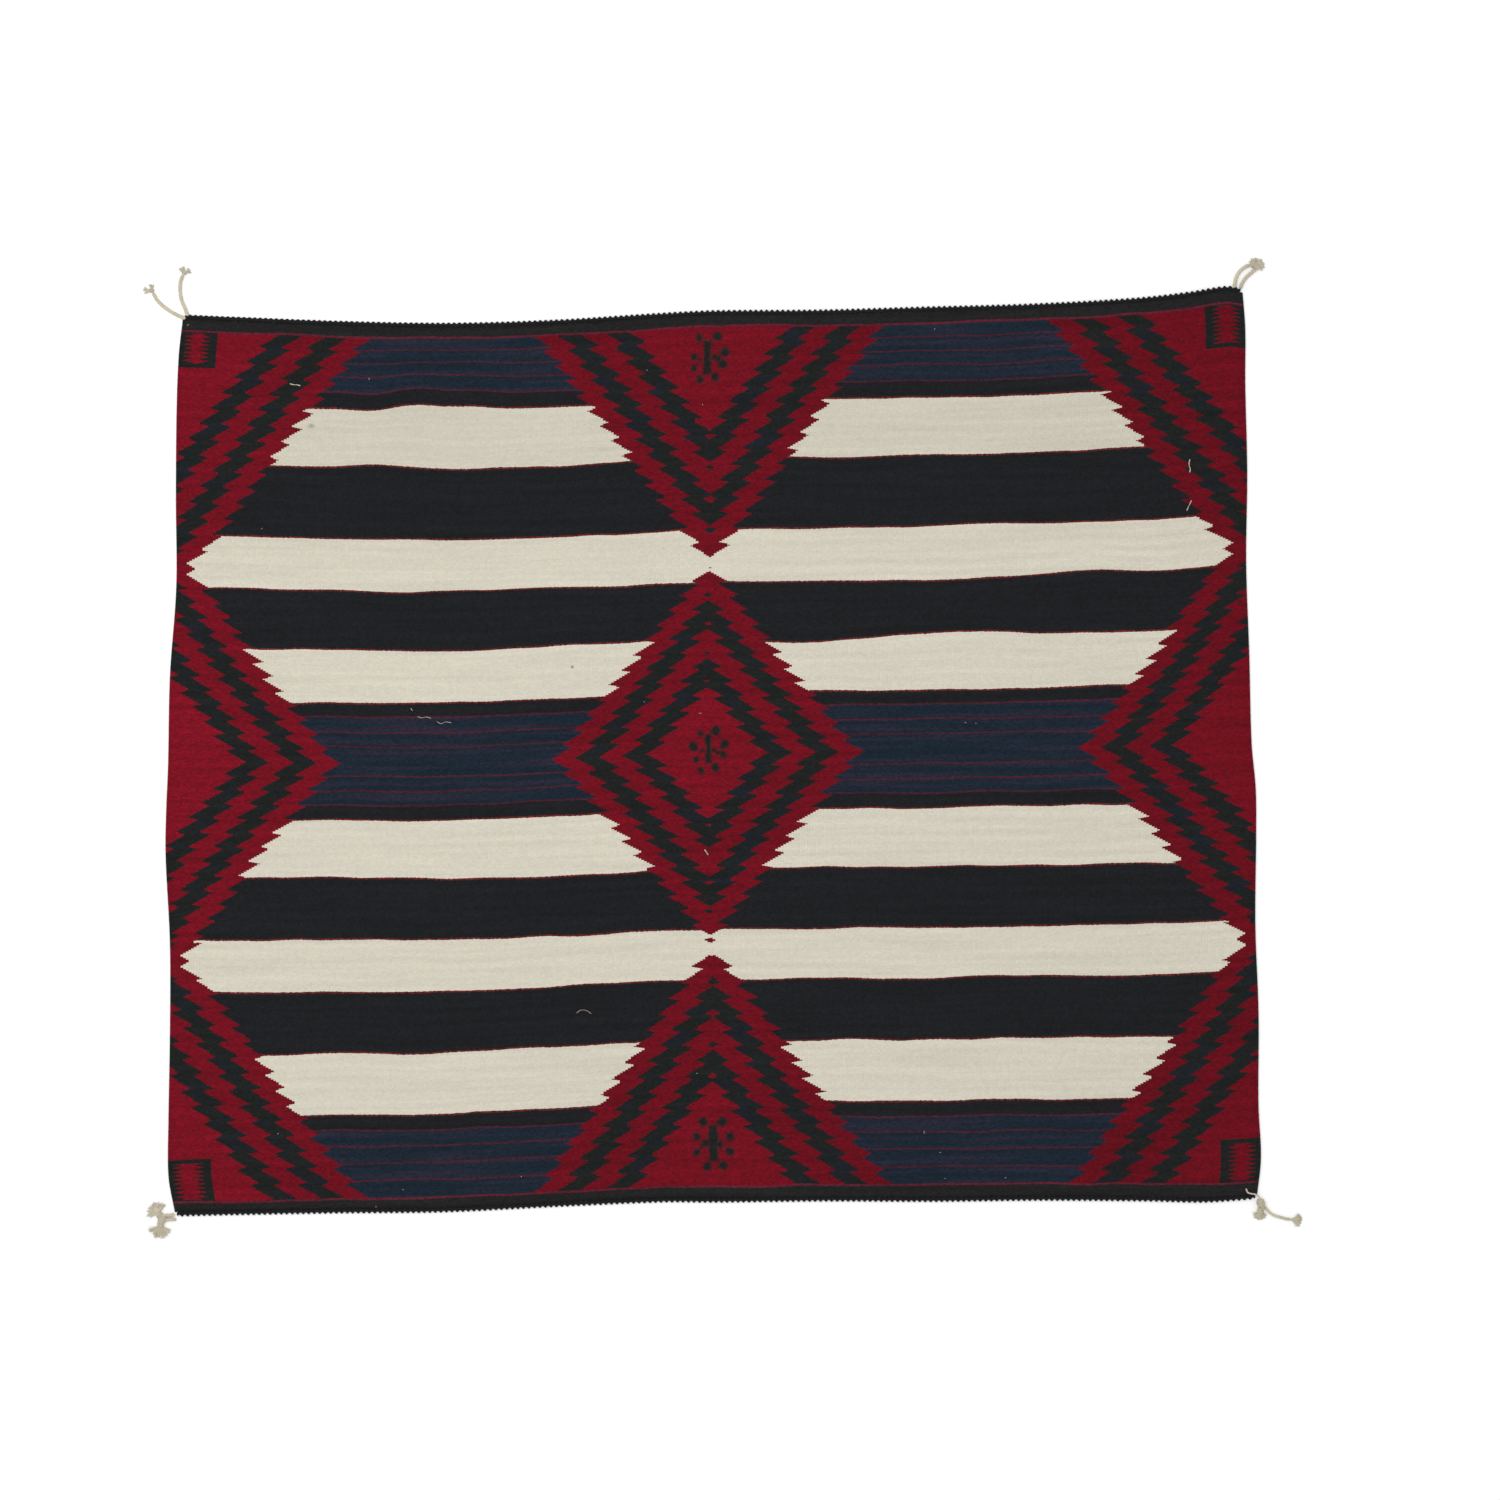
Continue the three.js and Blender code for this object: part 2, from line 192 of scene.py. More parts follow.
knots = [
    {"name": "frayedEndTopLeftA", "node": "tuft_top_left_a",
     "lumps": [(-708.3, 642.8, 7.0, 6.4, 5.0, 68)],
     "brushes": [(-709.6, 641.8, 82, 132, 4, 10.2), (-707.2, 641.8, 10, 50, 3, 9.8)]},
    {"name": "frayedEndTopLeftB", "node": "tuft_top_left_b",
     "lumps": [(-751.9, 619.0, 7.0, 6.4, 5.0, 121)],
     "brushes": [(-752.4, 618.0, 156, 196, 4, 12.0), (-751.6, 619.6, 70, 110, 3, 9.0)]},
    {"name": "knotTopRight", "node": "knot_top_right",
     "lumps": [(722.8, 653.8, 10.0, 8.0, 7.0, 40), (727.6, 650.6, 11.0, 9.0, 7.4, 130)],
     "brushes": [(725.0, 654.6, 62, 152, 6, 8.8), (728.6, 652.4, -40, 84, 10, 11.6)]},
    {"name": "knotBottomLeft", "node": "knot_bottom_left",
     "lumps": [(-737.6, -624.4, 14.0, 11.0, 8.6, 70), (-741.0, -619.4, 9.0, 9.0, 7.4, 130),
               (-740.0, -631.4, 11.0, 8.6, 6.6, 95)],
     "brushes": [(-743.4, -617.6, 54, 202, 13, 17.2), (-740.6, -634.0, 200, 330, 13, 19.0)],
     "strands": [
         (2.3, [(-721.3, -618.5, 2.3), (-727.6, -619.9, 2.4), (-733.0, -619.9, 3.2), (-738.0, -621.4, 3.6)]),
         (2.3, [(-718.6, -625.6, 2.3), (-727.2, -625.3, 2.4), (-733.0, -625.8, 3.2),
                (-738.0, -624.4, 3.6)])]},
    {"name": "knotBottomRight", "node": "knot_bottom_right",
     "lumps": [(733.4, -603.0, 13.6, 11.0, 8.4, 100), (736.2, -607.8, 8.0, 7.0, 6.6, 60),
               (732.8, -614.2, 11.0, 9.0, 6.8, 90)],
     "brushes": [(732.8, -615.2, 204, 326, 10, 12.0)],
     "strands": [(1.1, [(732.2, -600.0, 6.0), (730.6, -594.4, 6.2), (726.4, -591.4, 6.0),
                        (720.4, -590.4, 5.4), (715.6, -588.6, 5.0), (713.4, -583.0, 4.7)])]},
    {"name": "frayedEndBottomRight", "node": "tuft_bottom_right",
     "lumps": [(777.6, -625.6, 6.6, 5.6, 4.6, -6)],
     "brushes": [(776.8, -625.6, -58, 38, 11, 13.2)]},
]


def wrapLump(bm, lump):
    # a core with one ply wound round it, flat where it lies on the floor
    x, y, length, width, height, turn = lump
    bearing = math.radians(turn)
    along = Vector((math.cos(bearing), math.sin(bearing), 0.0))
    aside = Vector((-along.y, along.x, 0.0))
    middle = Vector((x, y, 0.0)) * mm + clothMiddle
    thread = knotShape["wrapRadius"]

    def surface(share, angle, inset):
        swell = math.sqrt(max(0.0, 1 - share * share))
        base = lumpShape["base"]
        up = height * (base + (1 - base) * swell * math.sin(angle)) - inset * math.sin(angle)
        return (middle + along * share * length / 2 * mm
                + aside * (swell * width / 2 - inset) * math.cos(angle) * mm
                + Vector((0.0, 0.0, max(inset, up))) * mm)

    core = bmesh.ops.create_uvsphere(bm, u_segments=14, v_segments=8, radius=1.0)["verts"]
    for vert in core:
        share, up = vert.co.z, math.atan2(vert.co.y, vert.co.x)
        inset = thread * lumpShape["coreInset"] * math.sqrt(max(0.0, 1 - share * share))
        vert.co = surface(share * lumpShape["coreLength"], up, inset)
    turns = max(2, round(length / (thread * lumpShape["wrapSpacing"])))
    steps = turns * lumpShape["stepsPerTurn"]
    route = []
    for step in range(steps + 1):
        share = lumpShape["wrapEnd"] * (2 * step / steps - 1)
        angle = 2 * math.pi * step / lumpShape["stepsPerTurn"] + lumpShape["startAngle"]
        route.append(surface(share, angle, thread * lumpShape["wrapInset"]))
    ringCount = len(route) - 1

    def section(share, around):
        reach = thread * mm * roundEnds(share, ringCount)
        return reach * math.cos(around), reach * math.sin(around)
    layTube(bm, route, knotShape["sides"], section, upright=False)


def loosenBrush(bm, brush, rng):
    # loose yarns that fan out along the floor, with finer hairs between them
    x, y, first, last, yarns, reach = brush
    root = Vector((x, y, 0.0))
    count = yarns * knotShape["strandsEach"]
    strands = [(first + (last - first) * i / max(1, count - 1), True) for i in range(count)]
    low, high = first - brushShape["hairSpread"], last + brushShape["hairSpread"]
    strands += [(rng.uniform(low, high), False) for _ in range(yarns * knotShape["hairsEach"])]
    for bearing, isYarn in strands:
        bearing = math.radians(bearing + rng.uniform(-brushShape["stray"], brushShape["stray"]))
        length = reach * rng.uniform(brushShape["shortest"], brushShape["longest"])
        length *= 1.0 if isYarn else brushShape["hairLength"]
        bend = rng.uniform(-brushShape["bend"], brushShape["bend"])
        if isYarn:
            thick = knotShape["yarnRadius"] * rng.uniform(brushShape["thinnest"], brushShape["thickest"])
            thin = knotShape["tipRadius"]
        else:
            thick = knotShape["hairRadius"]
            thin = knotShape["hairRadius"] * brushShape["hairTip"]
        points = []
        for step in range(brushShape["points"]):
            share = step / (brushShape["points"] - 1)
            ahead = bearing + bend * (share - brushShape["bendFrom"])
            drop = (1 - share) ** brushShape["fall"]
            lift = thick + drop * rng.uniform(brushShape["lowLift"], brushShape["highLift"])
            points.append(root + Vector((math.cos(ahead), math.sin(ahead), 0.0)) * length * share
                          + Vector((0.0, 0.0, lift + brushShape["clearance"])))
        route = [point * mm + clothMiddle for point in smoothRoute(points, brushShape["rings"])]

        def section(share, around, thick=thick, thin=thin):
            size = (thick + (thin - thick) * share ** brushShape["taper"]) * mm
            size *= roundEnds(share, brushShape["rings"])
            return size * math.cos(around), size * math.sin(around)
        layTube(bm, route, knotShape["sides"] if isYarn else brushShape["hairSides"], section)


knotPieces = {}
for seed, knot in enumerate(knots):
    bm = bmesh.new()
    rng = random.Random(40 + seed)
    for lump in knot["lumps"]:
        wrapLump(bm, lump)
    for brush in knot["brushes"]:
        loosenBrush(bm, brush, rng)
    for radius, points in knot.get("strands", []):
        route = tableRoute(points, radius, 0.9)
        strandShape = dict(tieShape, plies=3 if radius > 2 else 2, pitch=tieShape["pitch"] * radius / 2.3)
        layTube(bm, route, 16, plySection(radius * mm, route, strandShape))
    closeAndTurnOut(bm)
    knotPieces[knot["node"]] = finishPiece(bm, knot["name"])
print("knots tied:", len(knotPieces))


# The outline of the cloth: how far its woven sides stand from the middle line, by share of the length
# from the bottom end, and its two ends, by share of the width from the left side. Away from the corners,
# both tables are thinned from edge places that a program printed from the photo.

sideTable = [(0.0, -721.0, 729.0), (0.04, -729.5, 734.0), (0.1, -729.5, 730.7), (0.2, -727.5, 730.8),
             (0.3, -727.5, 726.5), (0.4, -733.3, 727.6), (0.45, -732.5, 727.0), (0.5, -730.0, 721.5),
             (0.6, -727.5, 718.3), (0.7, -719.0, 714.2), (0.8, -719.5, 715.6), (0.9, -718.5, 713.0),
             (0.96, -715.6, 713.0), (1.0, -710.2, 709.4)]
endTable = [(0.0, -621.0, 586.6), (0.05, -619.5, 583.6), (0.15, -617.0, 578.0), (0.25, -615.5, 575.5),
            (0.35, -608.5, 579.5), (0.45, -602.3, 588.5), (0.5, -602.5, 592.0), (0.6, -601.0, 593.0),
            (0.7, -601.5, 597.0), (0.8, -600.0, 601.0), (0.9, -601.0, 609.0), (0.95, -602.5, 617.0),
            (0.984, -599.5, 624.4), (1.0, -597.0, 621.6)]


def readTable(table, column, at):
    last = len(table) - 1
    low = min(max(sum(row[0] <= at for row in table) - 1, 0), last - 1)
    before, start, stop, after = [table[min(max(row, 0), last)] for row in range(low - 1, low + 3)]
    span = stop[0] - start[0]
    t = (at - start[0]) / span
    leaving = (stop[column] - before[column]) / (stop[0] - before[0]) * span
    arriving = (after[column] - start[column]) / (after[0] - start[0]) * span
    return (start[column] * (1 + 2 * t) * (1 - t) ** 2 + leaving * t * (1 - t) ** 2
            + stop[column] * t * t * (3 - 2 * t) - arriving * t * t * (1 - t))


cordWidth = 5.6      # of the cord along each end, at the crest of a scallop
touch = 0.12         # clearance between neighbouring pieces


def endLine(column, across):
    return readTable(endTable, column, across) + (cordWidth if column == 1 else -cordWidth)


# The woven cloth: one closed sheet, ribbed along its woven sides

clothShape = {"columns": 292, "rows": 148, "thickness": 3.0, "edgeHeight": 1.6, "ribPitch": 4.4,
              "ribHeights": (3.7, 3.5, 3.3), "ribGroove": 2.9, "columnsPerRib": 4, "ripple": 0.22,
              "width": 1450.0, "step": (5.0, 8.0)}


def clothColumn(column, shape):
    # share of the width at a column: close together on the ribs, even in between
    ribColumns = len(shape["ribHeights"]) * shape["columnsPerRib"]
    ribShare = len(shape["ribHeights"]) * shape["ribPitch"] / shape["width"]
    last = shape["columns"]
    fromSide = min(column, last - column)
    if fromSide <= ribColumns:
        share = ribShare * fromSide / ribColumns
        return share if column == fromSide else 1 - share
    return ribShare + (1 - 2 * ribShare) * (column - ribColumns) / (last - 2 * ribColumns)


def clothHeight(column, row, shape):
    fromSide = min(column, shape["columns"] - column)
    rib = fromSide / shape["columnsPerRib"]
    if rib < len(shape["ribHeights"]):
        floor = shape["edgeHeight"] if rib < 0.5 else shape["ribGroove"]
        swell = math.sin(math.pi * (rib % 1))
        return floor + (shape["ribHeights"][int(rib)] - floor) * swell ** 0.7
    across, along = column * shape["step"][0], row * shape["step"][1]
    ripple = math.sin(across / 61 + math.sin(along / 93) * 1.3) * math.sin(along / 77 + across / 240)
    inner = min(1.0, (rib - len(shape["ribHeights"])) / 6)
    return shape["thickness"] + ripple * shape["ripple"] * inner


bm = bmesh.new()
uv = bm.loops.layers.uv.verify()
columns, rows = clothShape["columns"], clothShape["rows"]
bmesh.ops.create_grid(bm, x_segments=columns, y_segments=rows, size=0.5)
shares = [clothColumn(column, clothShape) for column in range(columns + 1)]
bottomLine = [endLine(1, share) + touch for share in shares]
topLine = [endLine(2, share) - touch for share in shares]
leftLine = [readTable(sideTable, 1, row / rows) for row in range(rows + 1)]
rightLine = [readTable(sideTable, 2, row / rows) for row in range(rows + 1)]
for face in bm.faces:
    for loop in face.loops:
        column, row = round((loop.vert.co.x + 0.5) * columns), round((loop.vert.co.y + 0.5) * rows)
        loop[uv].uv = (shares[column], row / rows)
places = {}
for vert in bm.verts:
    places[vert] = (round((vert.co.x + 0.5) * columns), round((vert.co.y + 0.5) * rows))
for vert, (column, row) in places.items():
    x = leftLine[row] + (rightLine[row] - leftLine[row]) * shares[column]
    y = bottomLine[column] + (topLine[column] - bottomLine[column]) * row / rows
    vert.co = Vector((x, y, clothHeight(column, row, clothShape))) * mm + clothMiddle
under = bmesh.ops.extrude_face_region(bm, geom=bm.faces[:])["geom"]
for part in under:
    if isinstance(part, bmesh.types.BMVert):
        part.co.z = 0.0
bmesh.ops.recalc_face_normals(bm, faces=bm.faces[:])
cloth = finishPiece(bm, "wovenCloth")
print("cloth woven:", len(cloth.data.polygons), "faces")


# The cord twined along each end: two plies, so that each half turn stands out as a scallop

endCordShape = {"scallops": 196, "ringsPerScallop": 7, "sides": 12, "height": 4.3, "stop": 2.6,
                "waist": 0.72, "innerWaist": 0.96, "crest": 0.36, "notch": 1.02}


def twineEnd(name, end):
    column, along = (2, 1.0) if end == "top" else (1, 0.0)
    outward = 1 if end == "top" else -1
    left = readTable(sideTable, 1, along) + endCordShape["stop"]
    right = readTable(sideTable, 2, along) - endCordShape["stop"]
    count = endCordShape["scallops"] * endCordShape["ringsPerScallop"]
    width, height = cordWidth, endCordShape["height"]
    route = []
    for ring in range(count + 1):
        travel = (right - left) * ring / count
        across = (endCordShape["stop"] + travel) / (right - left + 2 * endCordShape["stop"])
        y = endLine(column, across) + outward * width / 2
        route.append(Vector((left + travel, y, height / 2)) * mm + clothMiddle)

    def section(share, around):
        turn = math.pi * share * endCordShape["scallops"] * outward
        lobe = abs(math.cos(around - turn))
        facing = outward * math.cos(around)      # 1 on the outer side, -1 where it meets the cloth
        pressed = max(0.0, -facing) ** 0.5
        waist = endCordShape["waist"] + (endCordShape["innerWaist"] - endCordShape["waist"]) * pressed
        hump = 0.5 + 0.5 * math.cos(2 * math.pi * share * endCordShape["scallops"])
        # scallops are flatter at the far left of the top end
        depth = min(1.0, 0.4 + share * 1.2) if end == "top" else 1.0
        swell = (waist + (1 - waist) * lobe ** 0.7) * roundEnds(share, count)
        swell *= 1 + max(0.0, facing) * depth * (endCordShape["crest"] - endCordShape["notch"] * (1 - hump))
        return swell * math.cos(around) * width / 2 * mm, swell * math.sin(around) * height / 2 * mm

    bm = bmesh.new()
    layTube(bm, route, endCordShape["sides"], section)
    closeAndTurnOut(bm)
    return finishPiece(bm, name)


endCordTop = twineEnd("endCordTop", "top")
endCordBottom = twineEnd("endCordBottom", "bottom")
print("end cords twined")


# Bits of undyed thread caught on the cloth

threads = [
    {"points": [(638.6, 393.0), (637.4, 386.0), (639.0, 379.0), (638.0, 374.8)], "radius": 0.75},
    {"points": [(641.0, 338.0), (638.0, 332.0), (634.2, 323.6)], "radius": 0.7},
    {"points": [(-567.0, 494.0), (-562.0, 492.6), (-556.6, 492.2), (-552.0, 491.0)], "radius": 0.75},
    {"points": [(-11.4, -129.6), (-9.2, -133.0), (-6.2, -137.2)], "radius": 0.9},
    {"points": [(-183.0, -349.0), (-177.0, -345.0), (-169.0, -345.6), (-163.0, -350.0)], "radius": 0.3},
    {"points": [(-404.6, 59.4), (-403.7, 57.9), (-402.4, 55.8)], "radius": 0.5},
    {"points": [(-396.0, 48.4), (-390.0, 46.4), (-384.0, 47.6), (-377.0, 45.6)], "radius": 0.35},
    {"points": [(-370.0, 41.6), (-364.0, 38.6), (-358.0, 41.0), (-350.0, 39.8)], "radius": 0.35},
]
# Specks of lint, each with its length and bearing
lint = [(-703.0, 572.4, 3.4, 40), (-460.4, 500.1, 2.6, 120), (-582.4, -510.3, 2.2, 20),
        (-451.1, -608.1, 2.4, 95), (-21.4, -429.5, 2.0, 60), (282.7, -508.4, 4.6, 92),
        (304.2, -535.5, 2.2, 15), (310.7, -570.3, 2.0, 150), (391.8, -569.2, 2.0, 40),
        (-414.9, -585.3, 1.8, 0), (-256.7, -567.6, 2.0, 130), (296.7, 567.0, 1.8, 70),
        (-17.0, 52.6, 3.6, 8), (-88.0, 512.0, 1.8, 30), (-14.0, 466.0, 1.8, 100),
        (-604.0, 300.0, 1.8, 50), (-92.0, 68.0, 1.6, 10), (236.0, 86.0, 1.8, 160),
        (338.0, 40.0, 2.2, 5), (352.0, 39.0, 1.8, 170)]
for x, y, length, bearing in lint:
    along = Vector((math.cos(math.radians(bearing)), math.sin(math.radians(bearing)))) * length / 2
    ends = [(x - along.x, y - along.y), (x, y), (x + along.x, y + along.y)]
    threads.append({"points": ends, "radius": 0.4})
threadShape = {"clothTop": 3.2, "rise": 0.4, "ringStep": 0.8, "waver": 0.2, "waves": 9, "flatness": 0.7,
               "sides": 8}
bm = bmesh.new()
for thread in threads:
    height = threadShape["clothTop"] + thread["radius"] * threadShape["rise"]
    route = tableRoute(thread["points"], height, threadShape["ringStep"])
    rings = len(route) - 1

    def section(share, around, size=thread["radius"] * mm, rings=rings):
        waver = 1 - threadShape["waver"] + threadShape["waver"] * math.sin(share * threadShape["waves"])
        swell = size * roundEnds(share, rings) * waver
        return swell * math.cos(around), swell * threadShape["flatness"] * math.sin(around)
    layTube(bm, route, threadShape["sides"], section)
closeAndTurnOut(bm)
strayThreads = finishPiece(bm, "strayThreads")


# Materials

def srgb(red, green, blue):
    return tuple(((c / 255 + 0.055) / 1.055) ** 2.4 if c > 10 else c / 255 / 12.92
                 for c in (red, green, blue)) + (1.0,)


def newGroup(name, inputs, outputs):
    group = bpy.data.node_groups.new(name, "ShaderNodeTree")
    for direction, sockets in (("INPUT", inputs), ("OUTPUT", outputs)):
        for label, kind in sockets.items():
            group.interface.new_socket(name=label, in_out=direction, socket_type="NodeSocket" + kind)
    return group, group.nodes.new("NodeGroupInput").outputs, group.nodes.new("NodeGroupOutput").inputs


def feed(tree, socket, value):
    if isinstance(value, bpy.types.NodeSocket):
        tree.links.new(value, socket)
    elif value is not None:
        socket.default_value = value


def calc(tree, operation, *values):
    node = tree.nodes.new("ShaderNodeMath")
    node.operation = operation
    for socket, value in zip(node.inputs, values):
        feed(tree, socket, value)
    return node.outputs[0]


def mixColour(tree, factor, first, second, blend="MIX"):
    node = tree.nodes.new("ShaderNodeMix")
    node.data_type = "RGBA"
    node.blend_type = blend
    feed(tree, node.inputs[0], factor)
    feed(tree, node.inputs[6], first)
    feed(tree, node.inputs[7], second)
    return node.outputs[2]


def vectorCalc(tree, operation, *values):
    node = tree.nodes.new("ShaderNodeVectorMath")
    node.operation = operation
    for socket, value in zip(node.inputs, values):
        feed(tree, socket, value)
    return node.outputs["Value" if operation in ("DOT_PRODUCT", "DISTANCE") else "Vector"]


def combine(tree, x=0.0, y=0.0, z=0.0):
    node = tree.nodes.new("ShaderNodeCombineXYZ")
    for socket, value in zip(node.inputs, (x, y, z)):
        feed(tree, socket, value)
    return node.outputs[0]


def split(tree, vector):
    node = tree.nodes.new("ShaderNodeSeparateXYZ")
    tree.links.new(vector, node.inputs[0])
    return node.outputs


def noise(tree, vector, scale, detail=2.0, roughness=0.5):
    node = tree.nodes.new("ShaderNodeTexNoise")
    tree.links.new(vector, node.inputs["Vector"])
    node.inputs["Scale"].default_value = scale
    node.inputs["Detail"].default_value = detail
    node.inputs["Roughness"].default_value = roughness
    return node.outputs["Fac"]


def whiteNoise(tree, vector):
    node = tree.nodes.new("ShaderNodeTexWhiteNoise")
    tree.links.new(vector, node.inputs["Vector"])
    return node.outputs["Value"]


def spread(tree, value, low, high, toLow=0.0, toHigh=1.0):
    node = tree.nodes.new("ShaderNodeMapRange")
    for socket, number in zip(node.inputs, (value, low, high, toLow, toHigh)):
        feed(tree, socket, number)
    return node.outputs[0]


# The pattern is charted in steps of 1.34 mm from the top left corner of the cloth. Its places were picked
# from edges and colours that programs printed from the photo, and from zooms of it.
chart = {"width": 1084.0, "length": 896.0, "endInset": 4.3, "warp": 2.67, "pick": 1.0}

# Where the white and the blue bands begin and end, down from the top end; the rest is black
whiteBands = [(89.5, 147.5), (219.5, 270.5), (330.5, 383.0), (501.8, 560.0), (621.5, 672.0), (734.5, 795.5)]
blueBands = [(16.0, 72.5), (397.5, 486.0), (811.8, 880.0)]
# Middle and half height of each thin red line between the bands
redLines = [(29.2, 0.8), (43.0, 0.7), (56.5, 0.8), (72.5, 0.9), (397.5, 0.9), (412.8, 0.9), (427.3, 0.8),
            (457.3, 0.8), (472.0, 0.9), (486.0, 0.8), (811.8, 0.9), (827.5, 0.9), (844.3, 0.9), (862.0, 0.9)]
# The broken red line along either side of a white band: its distance from the band and its half height
whiteTrim = {"from": 0.8, "half": 0.95}
# A black band at each end, over everything, with one red line inside it
endBand = {"width": 14.8, "lineMiddle": 15.8, "lineHalf": 1.0}

# Slow rises of the weft lines: middle across and down, reach across and down, and height
weftRises = [(240, 78, 30, 36, 4.5), (290, 70, 55, 40, 4.5), (200, 145, 45, 22, 4.5),
             (820, 90, 170, 50, -2.6), (480, 245, 90, 45, -2.6), (700, 275, 130, 25, -3.0),
             (925, 270, 50, 20, 4.0), (1030, 235, 70, 40, -3.5), (790, 330, 60, 20, 4.5),
             (640, 330, 60, 20, -3.5), (420, 560, 70, 40, -2.2), (440, 635, 150, 30, -2.5),
             (180, 560, 90, 20, 1.5)]
weftLean = {"from": 600.0, "to": 690.0, "height": 2.4, "wobble": 1.1, "nap": 0.5}

# Each corner's box of toothed bars: its width from the side and its far bar from the end,
# in the order top left, top right, bottom left, bottom right
cornerBoxes = {"widths": (38.0, 40.5, 43.0, 40.0), "farBars": (50.3, 56.8, 56.0, 55.5), "near": 17.0,
               "innerBar": 7.0, "outerBar": 4.4, "farHalf": 2.2, "toothPitch": 4.1, "toothReach": 11.0}
# Small stains on the white bands: place, reach across and down, and strength
stains = [(404, 352, 1.4, 1.2, 0.85), (137, 106, 3.2, 2.2, 0.5)]
# The small figure in each middle diamond, from the top: the middle and halves of its upright bar, and its
# dabs, each by its place from the middle and its size
crossFigures = [
    {"middle": (537.3, 47.0), "bar": (4.0, 17.5),
     "dabs": [(-8.4, -20, 3.4), (9.4, -21, 3.8), (-13.4, -1, 3.0), (17.6, -5.2, 4.2), (-13.0, 10.6, 3.0),
              (16, 7, 4.2), (-6.8, 22, 3.6), (8.4, 20, 4.0), (7, 0, 2.6), (11.4, 2.4, 2.8), (-7.6, 3, 1.6)]},
    {"middle": (540.6, 440.0), "bar": (3.3, 14.5),
     "dabs": [(-8, -15.5, 2.6), (7.6, -18, 4.0), (-15, -2, 4.0), (16, -3.7, 4.0), (-12.4, 11, 2.8),
              (14.6, 6.4, 3.4), (-7.6, 22.6, 2.4), (7, 19, 3.6), (5, 1.6, 1.8), (9, 3.4, 1.8),
              (-6, 1.4, 1.2)]},
    {"middle": (541.3, 837.0), "bar": (5.0, 18.6),
     "dabs": [(-9.3, -22, 3.8), (8.8, -22, 4.0), (-16.6, -7, 3.6), (16.4, -7, 3.8), (-16.6, 8.7, 3.4),
              (16, 8, 3.8), (-7, 22.6, 4.0), (9, 22, 4.2), (-7.4, -0.6, 3.2), (6.4, 1, 3.0), (-11, 2, 1.8)]},
]
figureEdge = {"wander": 1.0, "soft": 1.8, "depth": 1.0, "swell": 0.8}

# Stepped diamonds: middles of the three columns and rows, the edges between them, and how far each
# ring's inner side lies inside the outline. Along the woven sides the outline keeps a least reach.
diamonds = {"columnMiddles": (0.0, 539.5, 1084.0), "columnEdges": (285.0, 805.0),
            "rowMiddles": (0.0, 444.5, 896.0), "rowEdges": (252.8, 641.8),
            "tips": (248.0, 186.0, 192.0, 248.3), "rings": (24.0, 47.5, 71.5, 95.0), "toothDepth": 21.2,
            "toothShare": 0.83, "sideReach": 10.0, "middleReach": -20.0, "beyondTip": -250.0,
            "joins": ((0, 252.5, 10.0), (3, 257.0, 13.5), (0, 642.6, 10.5), (3, 640.4, 10.0)),
            "joinReach": 18.2, "pointFrom": 5.6, "pointSlope": 1.75, "jitter": 1.6}
# Row by row of quarters: reach of each quarter at its middle row from left to right, how much a quarter
# narrows for each step down, and the length of its teeth. None of these is measured by hand: they are
# rounded from a program's fit to the photo, or lie near the averages of that fit.
quarterRows = [
    {"reaches": (208, 192, 194, 216), "taper": 0.735, "tooth": 15.7},
    {"reaches": (173, 156, 156, 174), "taper": 0.8, "tooth": 14.4},
    {"reaches": (173, 156, 156, 174), "taper": 0.8, "tooth": 14.4},
    {"reaches": (207, 190, 193, 206), "taper": 0.72, "tooth": 15.8},
]


def pickByEdges(tree, value, edges, choices):
    # one of the choices, by the stretch between the edges that value is in
    result = choices[0]
    for edge, before, after in zip(edges, choices, choices[1:]):
        step = calc(tree, "GREATER_THAN", value, edge)
        result = calc(tree, "MULTIPLY_ADD", step, after - before, result)
    return result


def buildWovenCells():
    # turns the chart's places into whole woven cells and gives the relief of the weave
    group, given, out = newGroup("wovenCells", {"Across": "Float", "Down": "Float"},
                                 {"Cell Across": "Float", "Cell Down": "Float", "Relief": "Float",
                                  "Thread": "Float"})
    warpPlace = calc(group, "DIVIDE", given["Across"], chart["warp"])
    warp = calc(group, "FLOOR", warpPlace)
    odd = calc(group, "MULTIPLY", calc(group, "PINGPONG", warp, 1.0), 0.5)
    pickPlace = calc(group, "ADD", calc(group, "DIVIDE", given["Down"], chart["pick"]), odd)
    pick = calc(group, "FLOOR", pickPlace)
    feed(group, out["Cell Across"], calc(group, "MULTIPLY", calc(group, "ADD", warp, 0.5), chart["warp"]))
    centred = calc(group, "SUBTRACT", calc(group, "ADD", pick, 0.5), odd)
    feed(group, out["Cell Down"], calc(group, "MULTIPLY", centred, chart["pick"]))
    rib = calc(group, "SINE", calc(group, "MULTIPLY", calc(group, "FRACT", warpPlace), math.pi))
    bead = calc(group, "SINE", calc(group, "MULTIPLY", calc(group, "FRACT", pickPlace), math.pi))
    beadRelief = calc(group, "MULTIPLY_ADD", bead, 0.4, 0.6)
    relief = calc(group, "MULTIPLY", calc(group, "POWER", rib, 0.6), beadRelief)
    feed(group, out["Relief"], relief)
    feed(group, out["Thread"], whiteNoise(group, combine(group, warp, pick)))
    return group


